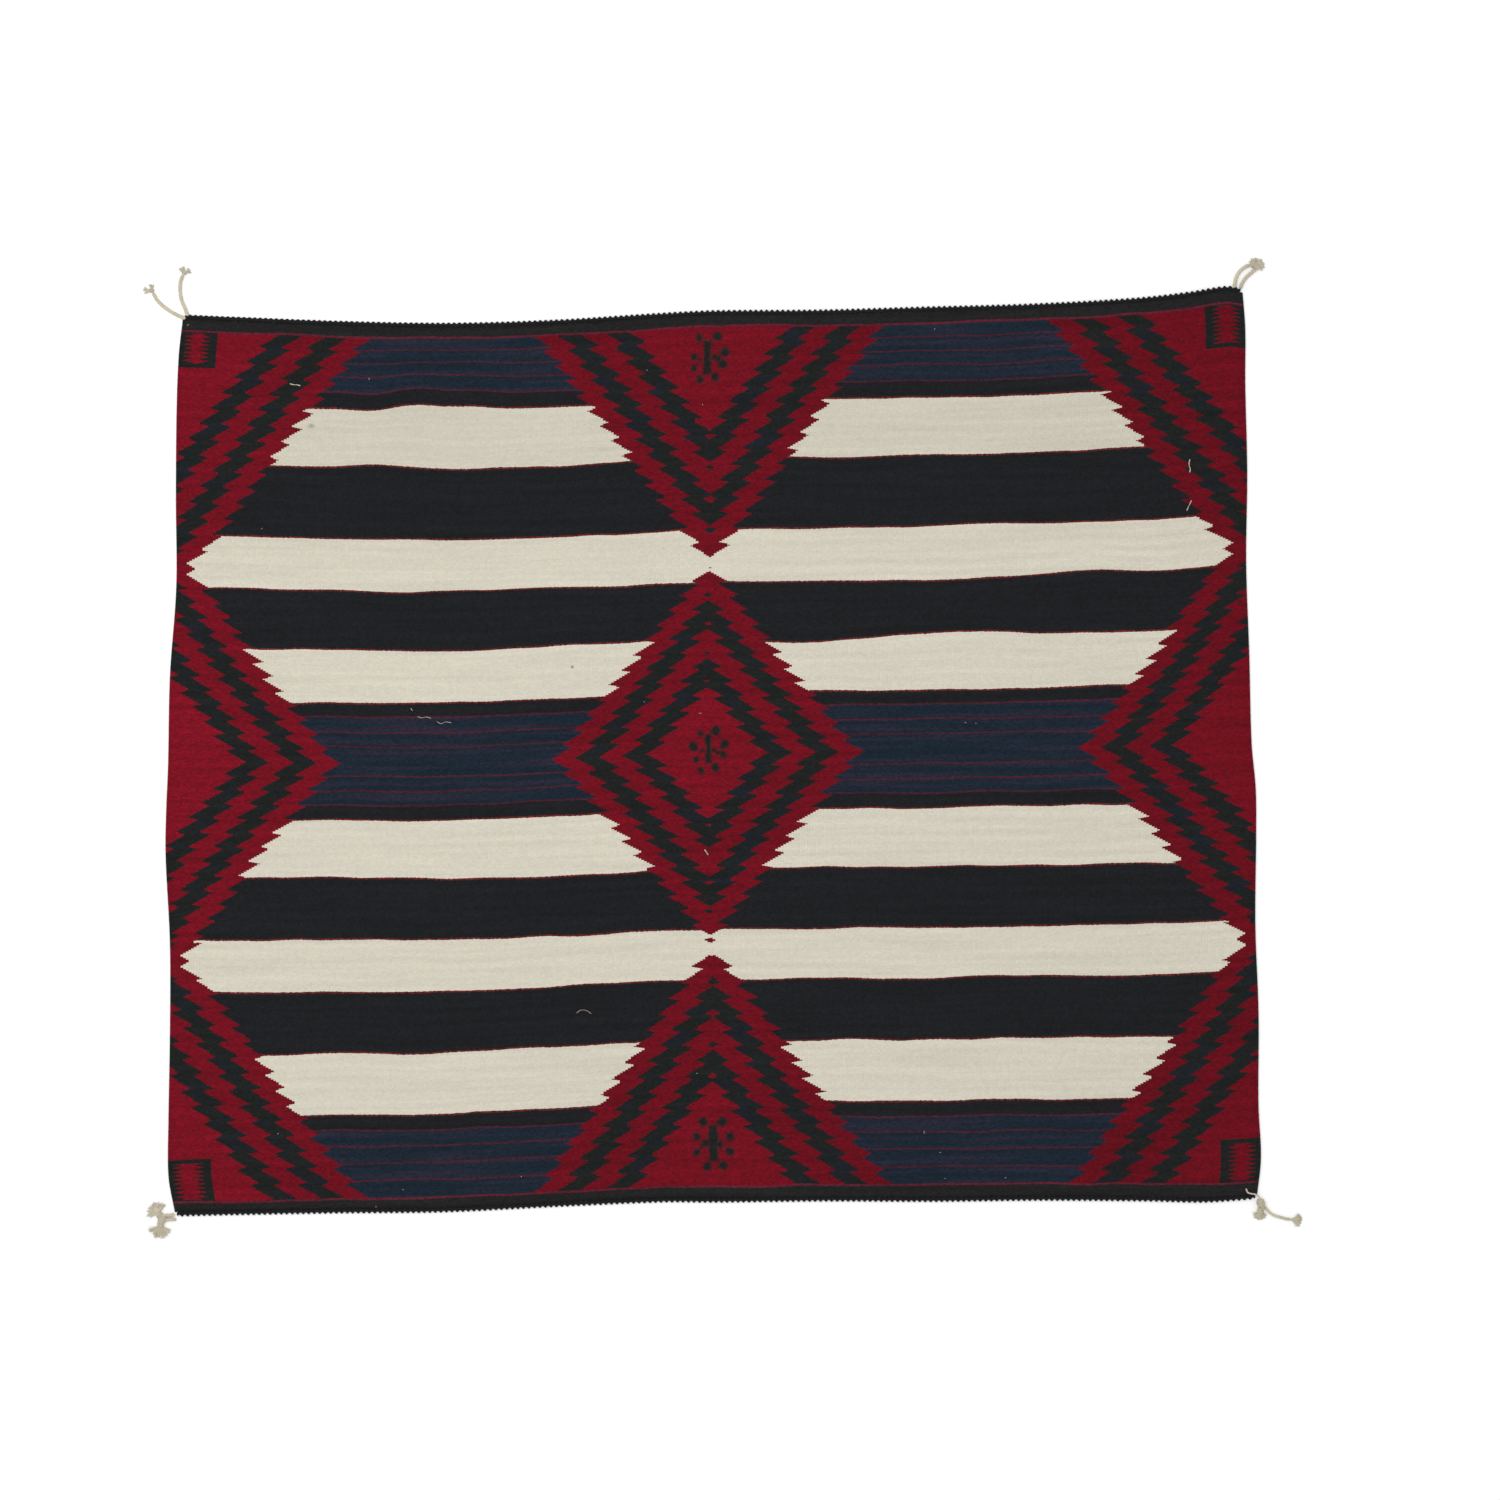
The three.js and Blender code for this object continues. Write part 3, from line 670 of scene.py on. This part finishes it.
def buildSerratedRings():
    # which ring of the nearest diamond a cell is in, by its distance inside the toothed outline
    group, given, out = newGroup("serratedRings", {"Across": "Float", "Down": "Float"},
                                 {"Red": "Float", "Dark": "Float", "Heart": "Float"})
    across, down = given["Across"], given["Down"]
    middleX = pickByEdges(group, across, diamonds["columnEdges"], diamonds["columnMiddles"])
    middleY = pickByEdges(group, down, diamonds["rowEdges"], diamonds["rowMiddles"])
    fromX = calc(group, "SUBTRACT", across, middleX)
    fromY = calc(group, "SUBTRACT", down, middleY)
    # quarter number: four columns of sides and four rows of halves
    columnSide = pickByEdges(group, across, (diamonds["columnEdges"][0], diamonds["columnMiddles"][1],
                                             diamonds["columnEdges"][1]), (0, 1, 2, 3))
    rowSide = pickByEdges(group, down, (diamonds["rowEdges"][0], diamonds["rowMiddles"][1],
                                        diamonds["rowEdges"][1]), (0, 1, 2, 3))
    number = calc(group, "MULTIPLY_ADD", rowSide, 4.0, columnSide)
    reaches = [reach for row in quarterRows for reach in row["reaches"]]
    reach = pickByEdges(group, number, [i + 0.5 for i in range(len(reaches) - 1)], reaches)
    taper = pickByEdges(group, rowSide, (0.5, 1.5, 2.5), [row["taper"] for row in quarterRows])
    length = pickByEdges(group, rowSide, (0.5, 1.5, 2.5), [row["tooth"] for row in quarterRows])
    fromMiddle = calc(group, "ABSOLUTE", fromY)
    tip = pickByEdges(group, rowSide, (0.5, 1.5, 2.5), diamonds["tips"])
    tooth = calc(group, "DIVIDE", fromMiddle, length)
    whole = calc(group, "FLOOR", tooth)
    part = calc(group, "FRACT", tooth)
    # each tooth runs in along its long side and back out along its short one
    net = calc(group, "MULTIPLY", taper, length)
    longSide = calc(group, "MULTIPLY", part, diamonds["toothDepth"] / diamonds["toothShare"])
    back = calc(group, "SUBTRACT", diamonds["toothDepth"], net)
    back = calc(group, "DIVIDE", back, 1 - diamonds["toothShare"])
    shortSide = calc(group, "MULTIPLY_ADD", calc(group, "SUBTRACT", 1.0, part), back, net)
    jitter = calc(group, "MULTIPLY_ADD", whiteNoise(group, combine(group, whole, number)),
                  diamonds["jitter"], -diamonds["jitter"] / 2)
    edge = calc(group, "SUBTRACT", calc(group, "ADD", reach, jitter), calc(group, "MULTIPLY", whole, net))
    edge = calc(group, "SUBTRACT", edge, calc(group, "MINIMUM", longSide, shortSide))
    atSide = calc(group, "MAXIMUM", calc(group, "LESS_THAN", columnSide, 0.5),
                  calc(group, "GREATER_THAN", columnSide, 2.5))
    least = calc(group, "MULTIPLY_ADD", atSide, diamonds["sideReach"] - diamonds["middleReach"],
                 diamonds["middleReach"])
    beyondTip = calc(group, "MULTIPLY", calc(group, "GREATER_THAN", fromMiddle, tip),
                     calc(group, "SUBTRACT", 1.0, atSide))
    edge = calc(group, "MULTIPLY_ADD", beyondTip, diamonds["beyondTip"], edge)
    edge = calc(group, "MAXIMUM", edge, least)
    # where two side diamonds meet, a white point stands on either side of a red notch
    for side, row, pointReach in diamonds["joins"]:
        fromJoin = calc(group, "ABSOLUTE", calc(group, "SUBTRACT", down, row))
        fromPoint = calc(group, "ABSOLUTE", calc(group, "SUBTRACT", fromJoin, diamonds["pointFrom"]))
        points = calc(group, "MULTIPLY_ADD", fromPoint, diamonds["pointSlope"], pointReach)
        nearJoin = calc(group, "MULTIPLY", calc(group, "COMPARE", columnSide, float(side), 0.5),
                        calc(group, "LESS_THAN", fromJoin, diamonds["joinReach"]))
        edge = calc(group, "MULTIPLY_ADD", nearJoin, calc(group, "SUBTRACT", points, edge), edge)
    inside = calc(group, "SUBTRACT", edge, calc(group, "ABSOLUTE", fromX))
    steps = [calc(group, "GREATER_THAN", inside, ring) for ring in (0.0, *diamonds["rings"])]
    dark = calc(group, "ADD", calc(group, "SUBTRACT", steps[1], steps[2]),
                calc(group, "SUBTRACT", steps[3], steps[4]))
    feed(group, out["Dark"], dark)
    feed(group, out["Red"], calc(group, "SUBTRACT", steps[0], dark))
    feed(group, out["Heart"], steps[4])
    return group


def buildWeftRises():
    # bends the weft lines: slow rises, a lean towards the bottom end, and a fine unevenness
    group, given, out = newGroup("weftRises", {"Across": "Float", "Down": "Float"}, {"Down": "Float"})
    spot = combine(group, given["Across"], given["Down"])
    down = given["Down"]
    for acrossMiddle, downMiddle, acrossReach, downReach, height in weftRises:
        scaled = vectorCalc(group, "MULTIPLY_ADD", spot, (1 / acrossReach, 1 / downReach, 0.0),
                            (-acrossMiddle / acrossReach, -downMiddle / downReach, 0.0))
        fade = calc(group, "POWER", math.exp(-1), vectorCalc(group, "DOT_PRODUCT", scaled, scaled))
        down = calc(group, "MULTIPLY_ADD", fade, height, down)
    half = chart["width"] / 2
    lean = calc(group, "MULTIPLY", calc(group, "SUBTRACT", given["Across"], half), weftLean["height"] / half)
    lower = spread(group, given["Down"], weftLean["from"], weftLean["to"])
    down = calc(group, "MULTIPLY_ADD", lean, lower, down)
    slow = noise(group, vectorCalc(group, "MULTIPLY", spot, (0.014, 0.02, 0.0)), 1.0, 1.0)
    down = calc(group, "ADD", down, spread(group, slow, 0.3, 0.7, -weftLean["wobble"], weftLean["wobble"]))
    nap = noise(group, vectorCalc(group, "MULTIPLY", spot, (0.4, 0.1, 0.0)), 1.0, 2.0)
    napShift = spread(group, nap, 0.2, 0.8, -weftLean["nap"], weftLean["nap"])
    feed(group, out["Down"], calc(group, "ADD", down, napShift))
    return group


def buildWeftBands():
    # ground colour of each band across the cloth, the thin red lines between them, and the end bands
    group, given, out = newGroup("weftBands", {"Down": "Float"},
                                 {"White": "Float", "Blue": "Float", "Line": "Float", "Trim": "Float",
                                  "End": "Float", "End Line": "Float"})
    lineBands = [(middle - half, middle + half) for middle, half in redLines]
    trimMiddles = [start - whiteTrim["from"] for start, _ in whiteBands]
    trimMiddles += [stop + whiteTrim["from"] for _, stop in whiteBands]
    trimBands = [(middle - whiteTrim["half"], middle + whiteTrim["half"]) for middle in trimMiddles]
    masks = []
    for stretches in (whiteBands, blueBands, lineBands, trimBands):
        mask = 0.0
        for start, stop in stretches:
            within = calc(group, "COMPARE", given["Down"], (start + stop) / 2, (stop - start) / 2)
            mask = calc(group, "MAXIMUM", within, mask)
        masks.append(mask)
    white, blue, lines, trim = masks
    fromEnd = calc(group, "MINIMUM", given["Down"], calc(group, "SUBTRACT", chart["length"], given["Down"]))
    feed(group, out["White"], white)
    feed(group, out["Blue"], blue)
    feed(group, out["Line"], lines)
    feed(group, out["Trim"], calc(group, "MULTIPLY", trim, calc(group, "SUBTRACT", 1.0, white)))
    feed(group, out["End"], calc(group, "LESS_THAN", fromEnd, endBand["width"]))
    feed(group, out["End Line"], calc(group, "COMPARE", fromEnd, endBand["lineMiddle"], endBand["lineHalf"]))
    return group


def buildCornerBoxes():
    # a box of dark bars with teeth turned in, folded over to all four corners
    group, given, out = newGroup("cornerBoxes", {"Across": "Float", "Down": "Float"}, {"Mask": "Float"})
    across, down, box = given["Across"], given["Down"], cornerBoxes
    corner = calc(group, "MULTIPLY_ADD", calc(group, "GREATER_THAN", down, chart["length"] / 2), 2.0,
                  calc(group, "GREATER_THAN", across, chart["width"] / 2))
    width = pickByEdges(group, corner, (0.5, 1.5, 2.5), box["widths"])
    farBar = pickByEdges(group, corner, (0.5, 1.5, 2.5), box["farBars"])
    fromSide = calc(group, "MINIMUM", across, calc(group, "SUBTRACT", chart["width"], across))
    fromEnd = calc(group, "MINIMUM", down, calc(group, "SUBTRACT", chart["length"], down))
    steps = calc(group, "DIVIDE", calc(group, "SUBTRACT", fromEnd, box["near"]), box["toothPitch"] / 2)
    tooth = calc(group, "MULTIPLY", calc(group, "PINGPONG", steps, 1.0), box["toothReach"])
    outer = calc(group, "LESS_THAN", fromSide, calc(group, "ADD", tooth, box["outerBar"]))
    innerReach = calc(group, "SUBTRACT", width, calc(group, "ADD", tooth, box["innerBar"]))
    inner = calc(group, "GREATER_THAN", fromSide, innerReach)
    far = calc(group, "COMPARE", fromEnd, farBar, box["farHalf"])
    near = calc(group, "COMPARE", fromEnd, box["near"], 1.0)
    bars = calc(group, "MAXIMUM", calc(group, "MAXIMUM", outer, inner), calc(group, "MAXIMUM", far, near))
    within = calc(group, "MULTIPLY", calc(group, "LESS_THAN", fromSide, width),
                  calc(group, "LESS_THAN", fromEnd, calc(group, "ADD", farBar, box["farHalf"])))
    feed(group, out["Mask"], calc(group, "MULTIPLY", bars, within))
    return group


def buildCrossFigures():
    # an upright bar with dabs round it, in the heart of each middle diamond
    group, given, out = newGroup("crossFigures", {"Across": "Float", "Down": "Float"}, {"Mask": "Float"})
    spot = combine(group, given["Across"], given["Down"])
    drift = []
    for shift in (0.0, 40.0):
        moved = vectorCalc(group, "MULTIPLY_ADD", spot, (0.11, 0.11, 0.0), (shift, shift, 0.0))
        wavy = noise(group, moved, 1.0, 1.0)
        drift.append(spread(group, wavy, 0.3, 0.7, -figureEdge["wander"], figureEdge["wander"]))
    spot = vectorCalc(group, "ADD", spot, combine(group, *drift))
    within = -50.0
    for figure in crossFigures:
        x, y = figure["middle"]
        fromMiddle = vectorCalc(group, "ABSOLUTE", vectorCalc(group, "SUBTRACT", spot, (x, y, 0.0)))
        room = split(group, vectorCalc(group, "SUBTRACT", (*figure["bar"], 0.0), fromMiddle))
        within = calc(group, "MAXIMUM", calc(group, "MINIMUM", room[0], room[1]), within)
        for aside, below, size in figure["dabs"]:
            away = vectorCalc(group, "DISTANCE", spot, (x + aside, y + below, 0.0))
            within = calc(group, "MAXIMUM", calc(group, "SUBTRACT", size + figureEdge["swell"], away), within)
    mask = spread(group, within, -figureEdge["soft"], figureEdge["soft"], 0.0, figureEdge["depth"])
    feed(group, out["Mask"], mask)
    return group


wovenCells = buildWovenCells()
serratedRings = buildSerratedRings()
risingWeft = buildWeftRises()
weftBands = buildWeftBands()
cornerBoxMasks = buildCornerBoxes()
crossFigureMasks = buildCrossFigures()


def placeGroup(tree, group, **inputs):
    node = tree.nodes.new("ShaderNodeGroup")
    node.node_tree = group
    for label, value in inputs.items():
        feed(tree, node.inputs[label.replace("_", " ")], value)
    return node.outputs


def newMaterial(name, roughness):
    material = bpy.data.materials.new(name)
    material.use_nodes = True
    tree = material.node_tree
    shader = tree.nodes["Principled BSDF"]
    shader.inputs["Roughness"].default_value = roughness
    shader.inputs["Specular IOR Level"].default_value = 0.12
    return material, tree, shader


def addBump(tree, shader, height, distance, strength=1.0):
    bump = tree.nodes.new("ShaderNodeBump")
    bump.inputs["Distance"].default_value = distance
    bump.inputs["Strength"].default_value = strength
    feed(tree, bump.inputs["Height"], height)
    tree.links.new(bump.outputs[0], shader.inputs["Normal"])


clothColours = {"white": (201, 195, 180), "black": (25, 26, 29), "endBlack": (30, 30, 30),
                "tealBlue": (22, 34, 46), "purpleBlue": (36, 33, 48), "red": (104, 8, 24),
                "line": (66, 27, 40), "endLine": (88, 26, 40), "trim": (98, 30, 30),
                "ringBlue": (24, 28, 34), "ringDark": (25, 28, 27), "stain": (84, 72, 62)}
# How light each wool is from place to place, as a factor on its colour
woolLight = {"firstWhite": 0.93, "firstWhiteTo": 150.0, "fullWhiteFrom": 260.0, "leftRed": 1.1,
             "rightRed": 0.86, "heartGain": 0.16, "endRed": 0.89, "endRedFrom": 100.0, "endRedTo": 448.0}
# How far single threads and long streaks sway in shade, in dark and in white wool
woolSway = {"darkThread": 0.3, "whiteThread": 0.06, "darkStreak": 0.16, "whiteStreak": 0.06}
weaveBump = {"fuzz": 0.35, "depth": 0.0005, "strength": 0.8}


def buildClothMaterial():
    material, tree, shader = newMaterial("tapestryWool", 0.92)
    uvMap = tree.nodes.new("ShaderNodeUVMap")
    across, along, _ = split(tree, uvMap.outputs[0])
    across = calc(tree, "MULTIPLY", across, chart["width"])
    down = spread(tree, along, 1.0, 0.0, chart["endInset"], chart["length"] - chart["endInset"])
    cells = placeGroup(tree, wovenCells, Across=across, Down=down)
    rings = placeGroup(tree, serratedRings, Across=cells["Cell Across"], Down=cells["Cell Down"])
    weftDown = placeGroup(tree, risingWeft, Across=across, Down=down)["Down"]
    bands = placeGroup(tree, weftBands, Down=weftDown)
    boxes = placeGroup(tree, cornerBoxMasks, Across=across, Down=weftDown)["Mask"]
    figures = placeGroup(tree, crossFigureMasks, Across=across, Down=down)["Mask"]
    alongWeft = vectorCalc(tree, "MULTIPLY", combine(tree, across, weftDown), (0.006, 0.16, 0.0))
    weftStreaks = noise(tree, alongWeft, 1.0, 3.0)
    place = combine(tree, across, down)
    colours = {name: srgb(*value) for name, value in clothColours.items()}
    blue = mixColour(tree, spread(tree, weftStreaks, 0.48, 0.68), colours["tealBlue"], colours["purpleBlue"])
    ground = mixColour(tree, bands["Blue"], colours["black"], blue)
    # the first white band from the top is of a slightly darker wool
    whiteLight = spread(tree, weftDown, woolLight["firstWhiteTo"], woolLight["fullWhiteFrom"],
                        woolLight["firstWhite"], 1.0)
    whiteLight = combine(tree, whiteLight, whiteLight, whiteLight)
    white = mixColour(tree, 1.0, colours["white"], whiteLight, "MULTIPLY")
    ground = mixColour(tree, bands["White"], ground, white)
    ground = mixColour(tree, bands["Line"], ground, colours["line"])
    trim = calc(tree, "MULTIPLY", bands["Trim"], spread(tree, cells["Thread"], 0.3, 0.5, 0.45, 1.0))
    ground = mixColour(tree, trim, ground, colours["trim"])
    cloudy = noise(tree, vectorCalc(tree, "MULTIPLY", place, (0.02, 0.05, 0.0)), 1.0, 2.0)
    ringDark = mixColour(tree, spread(tree, cloudy, 0.5, 0.66), colours["ringDark"], colours["ringBlue"])
    ground = mixColour(tree, rings["Dark"], ground, ringDark)
    # reds are brighter towards the left side and inside the diamonds
    sideLight = spread(tree, across, 0.0, chart["width"], woolLight["leftRed"], woolLight["rightRed"])
    redLight = calc(tree, "MULTIPLY", sideLight,
                    calc(tree, "MULTIPLY_ADD", rings["Heart"], woolLight["heartGain"], 1.0))
    fromMiddle = calc(tree, "ABSOLUTE", calc(tree, "SUBTRACT", down, chart["length"] / 2))
    endLight = spread(tree, fromMiddle, woolLight["endRedFrom"], woolLight["endRedTo"], 1.0,
                      woolLight["endRed"])
    redLight = calc(tree, "MULTIPLY", redLight, endLight)
    red = mixColour(tree, 1.0, colours["red"], combine(tree, redLight, redLight, redLight), "MULTIPLY")
    colour = mixColour(tree, rings["Red"], ground, red)
    darkFigures = calc(tree, "MAXIMUM", boxes, calc(tree, "MULTIPLY", figures, rings["Heart"]))
    colour = mixColour(tree, darkFigures, colour, colours["ringDark"])
    colour = mixColour(tree, bands["End Line"], colour, colours["endLine"])
    colour = mixColour(tree, bands["End"], colour, colours["endBlack"])
    for markAcross, markDown, reachAcross, reachDown, strength in stains:
        scaled = vectorCalc(tree, "MULTIPLY_ADD", place, (1 / reachAcross, 1 / reachDown, 0.0),
                            (-markAcross / reachAcross, -markDown / reachDown, 0.0))
        fade = calc(tree, "POWER", math.exp(-1), vectorCalc(tree, "DOT_PRODUCT", scaled, scaled))
        colour = mixColour(tree, calc(tree, "MULTIPLY", fade, strength), colour, colours["stain"])
    whiteGround = calc(tree, "MULTIPLY", bands["White"], calc(tree, "SUBTRACT", 1.0, calc(
        tree, "MAXIMUM", rings["Red"], rings["Dark"])))
    # threads differ most where the wool is dark
    threadSway = spread(tree, whiteGround, 0.0, 1.0, woolSway["darkThread"], woolSway["whiteThread"])
    threadDraw = spread(tree, cells["Thread"], 0.0, 1.0, -1.0, 1.0)
    threadShade = calc(tree, "MULTIPLY_ADD", threadDraw, threadSway, 1.0)
    streakSway = spread(tree, whiteGround, 0.0, 1.0, woolSway["darkStreak"], woolSway["whiteStreak"])
    streakShade = calc(tree, "MULTIPLY_ADD", spread(tree, weftStreaks, 0.3, 0.7, -1.0, 1.0), streakSway, 1.0)
    shade = calc(tree, "MULTIPLY", threadShade, streakShade)
    colour = mixColour(tree, 1.0, colour, combine(tree, shade, shade, shade), "MULTIPLY")
    tree.links.new(colour, shader.inputs["Base Color"])
    feed(tree, shader.inputs["Roughness"], spread(tree, cells["Thread"], 0.0, 1.0, 0.86, 0.98))
    fuzz = noise(tree, place, 1.6, 3.0)
    relief = calc(tree, "MULTIPLY_ADD", fuzz, weaveBump["fuzz"], cells["Relief"])
    addBump(tree, shader, relief, weaveBump["depth"], weaveBump["strength"])
    return material


def buildCordMaterial(name, values):
    material, tree, shader = newMaterial(name, 0.9)
    uvMap = tree.nodes.new("ShaderNodeUVMap")
    along, around, _ = split(tree, uvMap.outputs[0])
    fibre = combine(tree, calc(tree, "MULTIPLY", along, values["alongScale"]),
                    calc(tree, "MULTIPLY_ADD", along, values["lean"], calc(tree, "MULTIPLY", around, 6.0)))
    grain = noise(tree, fibre, 2.0, 4.0, 0.6)
    spot = tree.nodes.new("ShaderNodeTexCoord").outputs["Object"]
    cloudy = noise(tree, spot, 60.0, 2.0)
    shade = calc(tree, "MULTIPLY", spread(tree, grain, 0.25, 0.75, 0.8, 1.15),
                 spread(tree, cloudy, 0.3, 0.7, 0.88, 1.1))
    colour = mixColour(tree, 1.0, srgb(*values["colour"]), combine(tree, shade, shade, shade), "MULTIPLY")
    tree.links.new(colour, shader.inputs["Base Color"])
    feed(tree, shader.inputs["Roughness"], spread(tree, grain, 0.3, 0.7, 0.84, 0.97))
    addBump(tree, shader, grain, values["bump"], 0.7)
    return material


cordFinish = {"colour": (27, 27, 30), "alongScale": 240.0, "lean": 420.0, "bump": 0.0006}
tieFinish = {"colour": (190, 182, 161), "alongScale": 260.0, "lean": 330.0, "bump": 0.0005}
clothMaterial = buildClothMaterial()
endCordMaterial = buildCordMaterial("twinedDarkWool", cordFinish)
tieMaterial = buildCordMaterial("undyedLaidYarn", tieFinish)
cloth.data.materials.append(clothMaterial)
for piece in (endCordTop, endCordBottom):
    piece.data.materials.append(endCordMaterial)
for piece in [*(piece for piece, _ in tiePieces.values()), *knotPieces.values(), strayThreads]:
    piece.data.materials.append(tieMaterial)
print("materials made")


# Floor and light

room = {"floorSize": 12.0, "floorShade": 0.97, "worldStrength": 0.8, "keyEnergy": 58.0, "keySize": 3.0,
        "keyPlace": (-0.8, 0.6, 3.4)}

bm = bmesh.new()
bmesh.ops.create_grid(bm, x_segments=1, y_segments=1, size=room["floorSize"] / 2)
bmesh.ops.translate(bm, verts=bm.verts[:], vec=(0.0, 0.0, -0.0004))
floor = finishPiece(bm, "paleFloor", smooth=False)
floorMaterial, _, floorShader = newMaterial("paleFloor", 0.8)
floorShader.inputs["Base Color"].default_value = (room["floorShade"],) * 3 + (1.0,)
floor.data.materials.append(floorMaterial)

world = bpy.data.worlds.new("softRoom")
bpy.context.scene.world = world
world.use_nodes = True
world.node_tree.nodes["Background"].inputs[0].default_value = (1.0, 1.0, 1.0, 1.0)
world.node_tree.nodes["Background"].inputs[1].default_value = room["worldStrength"]
lamp = bpy.data.lights.new("softKey", "AREA")
lamp.energy = room["keyEnergy"]
lamp.shape = "DISK"
lamp.size = room["keySize"]
key = bpy.data.objects.new("softKey", lamp)
bpy.context.scene.collection.objects.link(key)
key.location = room["keyPlace"]
key.rotation_mode = "QUATERNION"
key.rotation_quaternion = Vector(key.location).to_track_quat("Z", "Y")
print("floor and light set")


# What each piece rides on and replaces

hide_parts("woven_cloth")
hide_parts("end_cord_top")
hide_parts("end_cord_bottom")
for node, piece in knotPieces.items():
    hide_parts(node)
for piece in (cloth, endCordTop, endCordBottom, strayThreads, *knotPieces.values()):
    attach(piece, "root")
claimed = set()
for tie in ties:
    piece, route = tiePieces[tie["name"]]
    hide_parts(tie["node"])
    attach(piece, "root")
    ends = [] if tie["end"] in claimed else [knotPieces[tie["end"]]]
    claimed.add(tie["end"])

print("pieces declared")
